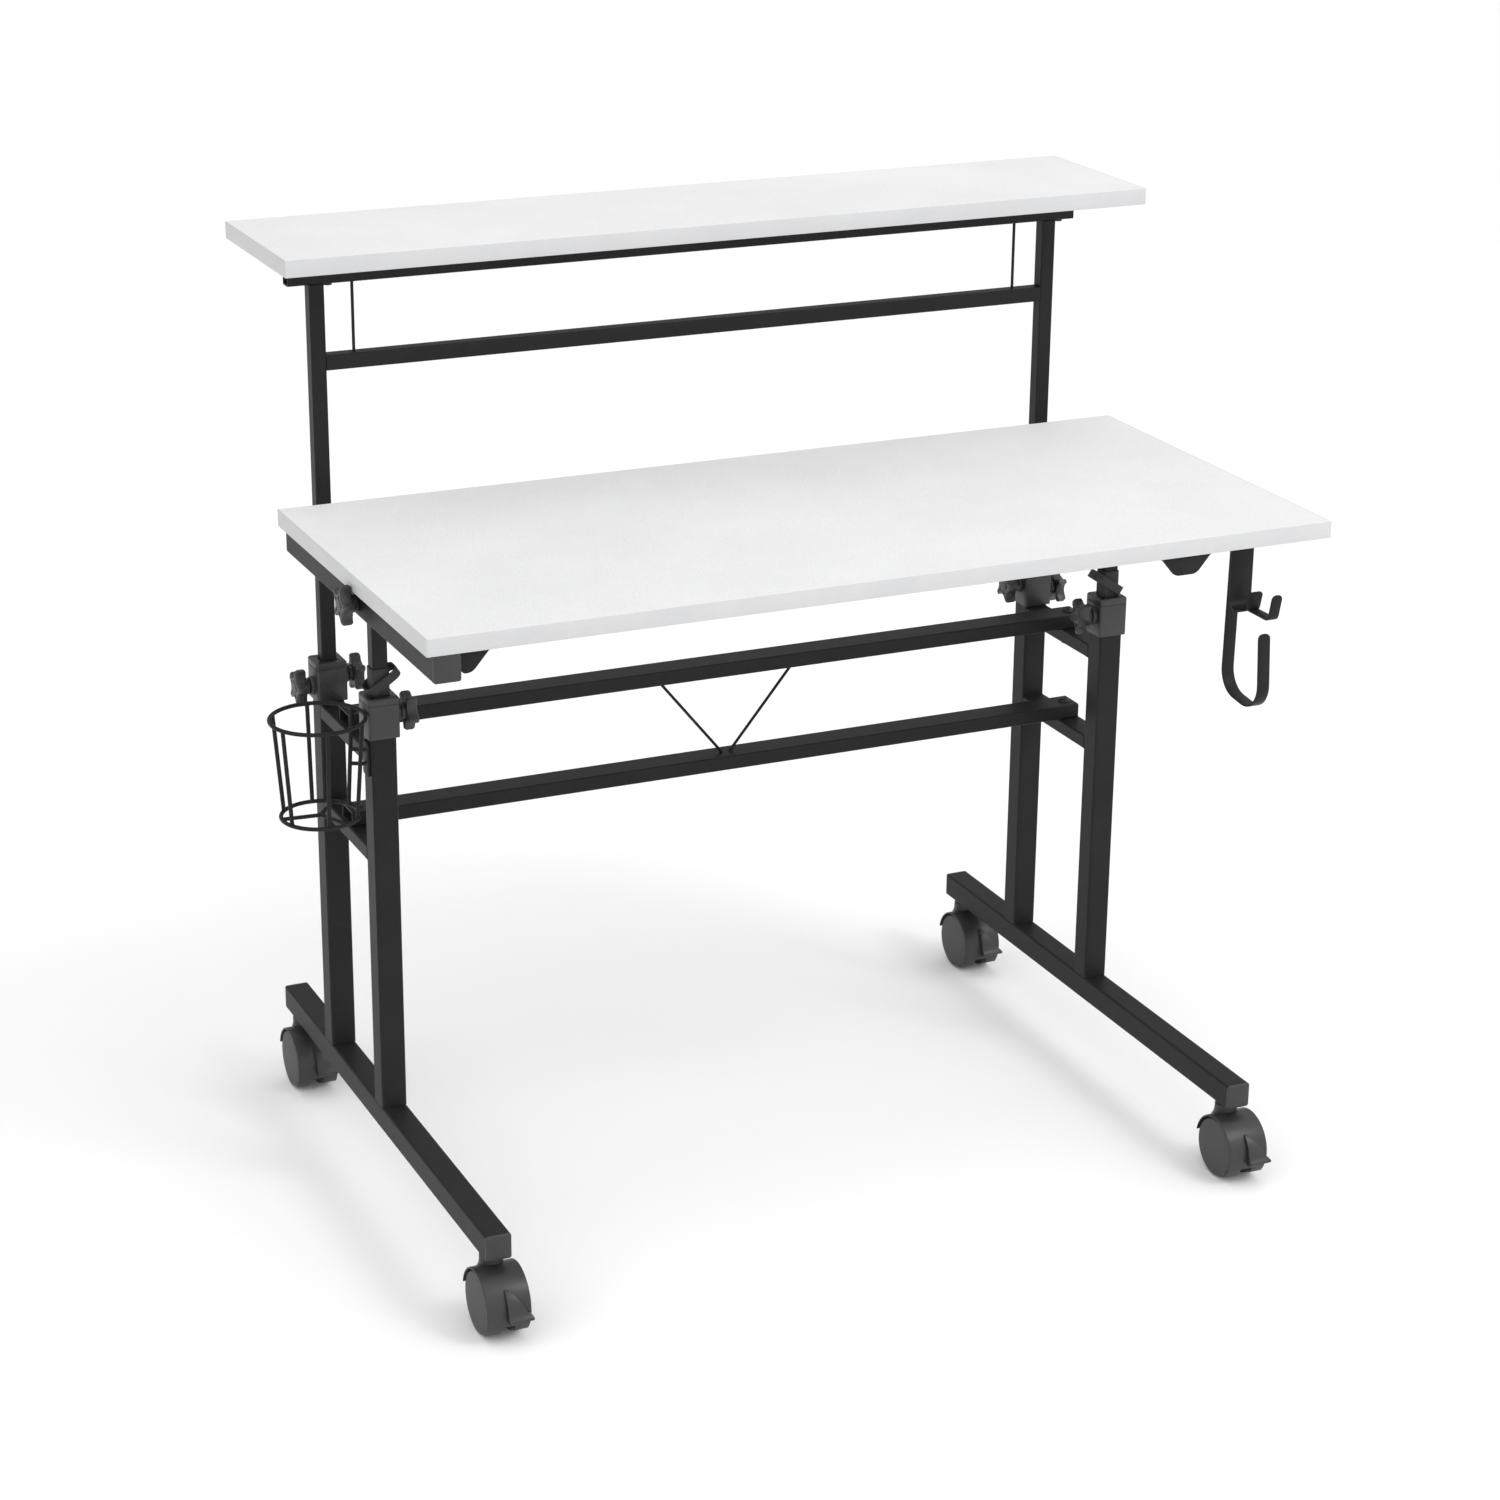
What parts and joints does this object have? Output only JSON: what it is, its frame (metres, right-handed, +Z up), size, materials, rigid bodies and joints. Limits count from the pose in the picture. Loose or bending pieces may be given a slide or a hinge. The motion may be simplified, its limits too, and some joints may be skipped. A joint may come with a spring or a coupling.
{
  "type": "standing desk",
  "caption": "Mobile standing desk with a tilting desktop, a raised monitor shelf, clamp-knob height adjustment, cup basket, hooks and braked casters.",
  "frame": {"origin": "on the floor, in the middle of the box round the whole desk", "axes": "+Z up, +X to the right of the person at the desk, +Y away from that person"},
  "size_m": [0.9628, 0.6412, 0.926],
  "materials": {
    "black_powder_coat": "satin powder coat, fine orange peel",
    "black_plastic": "moulded, fine spark texture",
    "wheel_plastic": "moulded, smooth",
    "white_laminate": "white melamine face with a fine pore texture on chipboard",
    "edge_band": "plain white edge band",
    "dark_zinc_steel": "black zinc plated",
    "soft_strap": "soft strap"
  },
  "bodies": {
    "frame": {"brace_rods": "black_powder_coat", "caster_stems": "dark_zinc_steel", "cup_holder": "black_powder_coat", "foot_left": "black_powder_coat", "foot_plugs": "black_plastic", "foot_right": "black_powder_coat", "frame_bolts": "dark_zinc_steel", "front_collar_left": "black_plastic", "front_collar_right": "black_plastic", "front_leg_left": "black_powder_coat", "front_leg_right": "black_powder_coat", "lower_crossbar": "black_powder_coat", "rear_collar_left": "black_plastic", "rear_collar_right": "black_plastic", "rear_leg_left": "black_powder_coat", "rear_leg_right": "black_powder_coat", "side_rails": "black_powder_coat", "stop_straps": "soft_strap", "upper_crossbar": "black_powder_coat"},
    "desk_lift": {"lift_tube_left": "black_powder_coat", "lift_tube_right": "black_powder_coat", "tilt_carrier_left": "black_powder_coat", "tilt_carrier_right": "black_powder_coat"},
    "desktop": {"desktop_board": "white_laminate", "desktop_edge_band": "edge_band", "tilt_arm_left": "black_powder_coat", "tilt_arm_right": "black_powder_coat", "arm_end_caps": "black_plastic", "desktop_screws": "dark_zinc_steel", "front_tabs": "black_powder_coat", "headphone_hook": "black_powder_coat", "long_hook": "black_powder_coat"},
    "shelf": {"shelf_post_left": "black_powder_coat", "shelf_post_right": "black_powder_coat", "post_crossbar": "black_powder_coat", "shelf_support_bar": "black_powder_coat", "shelf_rods": "black_powder_coat", "shelf_board": "white_laminate", "shelf_edge_band": "edge_band", "shelf_screws": "dark_zinc_steel"},
    "front_knob_inner_left": {"front_knob_inner_left": "black_plastic"},
    "rear_knob_inner_left": {"rear_knob_inner_left": "black_plastic"},
    "rear_knob_outer_left": {"rear_knob_outer_left": "black_plastic"},
    "tilt_knob_left": {"tilt_knob_left": "black_plastic"},
    "front_knob_inner_right": {"front_knob_inner_right": "black_plastic"},
    "rear_knob_inner_right": {"rear_knob_inner_right": "black_plastic"},
    "rear_knob_outer_right": {"rear_knob_outer_right": "black_plastic"},
    "tilt_knob_right": {"tilt_knob_right": "black_plastic"},
    "swivel_front_left": {"caster_hood_front_left": "black_plastic"},
    "wheels_front_left": {"caster_wheels_front_left": "wheel_plastic"},
    "pedal_front_left": {"caster_pedal_front_left": "black_plastic"},
    "swivel_front_right": {"caster_hood_front_right": "black_plastic"},
    "wheels_front_right": {"caster_wheels_front_right": "wheel_plastic"},
    "pedal_front_right": {"caster_pedal_front_right": "black_plastic"},
    "swivel_rear_left": {"caster_hood_rear_left": "black_plastic"},
    "wheels_rear_left": {"caster_wheels_rear_left": "wheel_plastic"},
    "pedal_rear_left": {"caster_pedal_rear_left": "black_plastic"},
    "swivel_rear_right": {"caster_hood_rear_right": "black_plastic"},
    "wheels_rear_right": {"caster_wheels_rear_right": "wheel_plastic"},
    "pedal_rear_right": {"caster_pedal_rear_right": "black_plastic"}
  },
  "joints": [
    {"name": "desk_height", "type": "slide", "parent": "frame", "child": "desk_lift", "axis": [0, 0, 1], "range_m": [0, 0.22]},
    {"name": "desk_tilt", "type": "hinge", "parent": "desk_lift", "child": "desktop", "pos_m": [0.01965, -0.0904, 0.6495], "axis": [1, 0, 0], "range_deg": [0, 30]},
    {"name": "shelf_height", "type": "slide", "parent": "frame", "child": "shelf", "axis": [0, 0, 1], "range_m": [0, 0.33]},
    {"name": "front_knob_inner_left_turn", "type": "hinge", "parent": "frame", "child": "front_knob_inner_left", "pos_m": [-0.35685, 0.0146, 0.502], "axis": [1, 0, 0], "range_deg": [0, 360]},
    {"name": "rear_knob_inner_left_turn", "type": "hinge", "parent": "frame", "child": "rear_knob_inner_left", "pos_m": [-0.35685, 0.1716, 0.49], "axis": [1, 0, 0], "range_deg": [0, 360]},
    {"name": "rear_knob_outer_left_turn", "type": "hinge", "parent": "frame", "child": "rear_knob_outer_left", "pos_m": [-0.38785, 0.1716, 0.482], "axis": [-1, 0, 0], "range_deg": [0, 360]},
    {"name": "tilt_knob_left_turn", "type": "hinge", "parent": "desk_lift", "child": "tilt_knob_left", "pos_m": [-0.42435, -0.0904, 0.6495], "axis": [-1, 0, 0], "range_deg": [0, 360]},
    {"name": "front_knob_inner_right_turn", "type": "hinge", "parent": "frame", "child": "front_knob_inner_right", "pos_m": [0.39615, 0.0146, 0.502], "axis": [-1, 0, 0], "range_deg": [0, 360]},
    {"name": "rear_knob_inner_right_turn", "type": "hinge", "parent": "frame", "child": "rear_knob_inner_right", "pos_m": [0.39615, 0.1716, 0.49], "axis": [-1, 0, 0], "range_deg": [0, 360]},
    {"name": "rear_knob_outer_right_turn", "type": "hinge", "parent": "frame", "child": "rear_knob_outer_right", "pos_m": [0.42715, 0.1716, 0.482], "axis": [1, 0, 0], "range_deg": [0, 360]},
    {"name": "tilt_knob_right_turn", "type": "hinge", "parent": "desk_lift", "child": "tilt_knob_right", "pos_m": [0.46365, -0.0904, 0.6495], "axis": [1, 0, 0], "range_deg": [0, 360]},
    {"name": "swivel_front_left_turn", "type": "hinge", "parent": "frame", "child": "swivel_front_left", "pos_m": [-0.37235, -0.2634, 0.07], "axis": [0, 0, 1], "continuous": true},
    {"name": "wheels_front_left_roll", "type": "hinge", "parent": "swivel_front_left", "child": "wheels_front_left", "pos_m": [-0.37235, -0.2774, 0.031], "axis": [1, 0, 0], "continuous": true},
    {"name": "pedal_front_left_press", "type": "hinge", "parent": "swivel_front_left", "child": "pedal_front_left", "pos_m": [-0.37235, -0.2774, 0.031], "axis": [1, 0, 0], "range_deg": [0, 12]},
    {"name": "swivel_front_right_turn", "type": "hinge", "parent": "frame", "child": "swivel_front_right", "pos_m": [0.41165, -0.2634, 0.07], "axis": [0, 0, 1], "continuous": true},
    {"name": "wheels_front_right_roll", "type": "hinge", "parent": "swivel_front_right", "child": "wheels_front_right", "pos_m": [0.41165, -0.2774, 0.031], "axis": [1, 0, 0], "continuous": true},
    {"name": "pedal_front_right_press", "type": "hinge", "parent": "swivel_front_right", "child": "pedal_front_right", "pos_m": [0.41165, -0.2774, 0.031], "axis": [1, 0, 0], "range_deg": [0, 12]},
    {"name": "swivel_rear_left_turn", "type": "hinge", "parent": "frame", "child": "swivel_rear_left", "pos_m": [-0.37235, 0.2986, 0.07], "axis": [0, 0, 1], "continuous": true},
    {"name": "wheels_rear_left_roll", "type": "hinge", "parent": "swivel_rear_left", "child": "wheels_rear_left", "pos_m": [-0.37235, 0.2846, 0.031], "axis": [1, 0, 0], "continuous": true},
    {"name": "pedal_rear_left_press", "type": "hinge", "parent": "swivel_rear_left", "child": "pedal_rear_left", "pos_m": [-0.37235, 0.2846, 0.031], "axis": [1, 0, 0], "range_deg": [0, 12]},
    {"name": "swivel_rear_right_turn", "type": "hinge", "parent": "frame", "child": "swivel_rear_right", "pos_m": [0.41165, 0.2986, 0.07], "axis": [0, 0, 1], "continuous": true},
    {"name": "wheels_rear_right_roll", "type": "hinge", "parent": "swivel_rear_right", "child": "wheels_rear_right", "pos_m": [0.41165, 0.2846, 0.031], "axis": [1, 0, 0], "continuous": true},
    {"name": "pedal_rear_right_press", "type": "hinge", "parent": "swivel_rear_right", "child": "pedal_rear_right", "pos_m": [0.41165, 0.2846, 0.031], "axis": [1, 0, 0], "range_deg": [0, 12]}
  ]
}
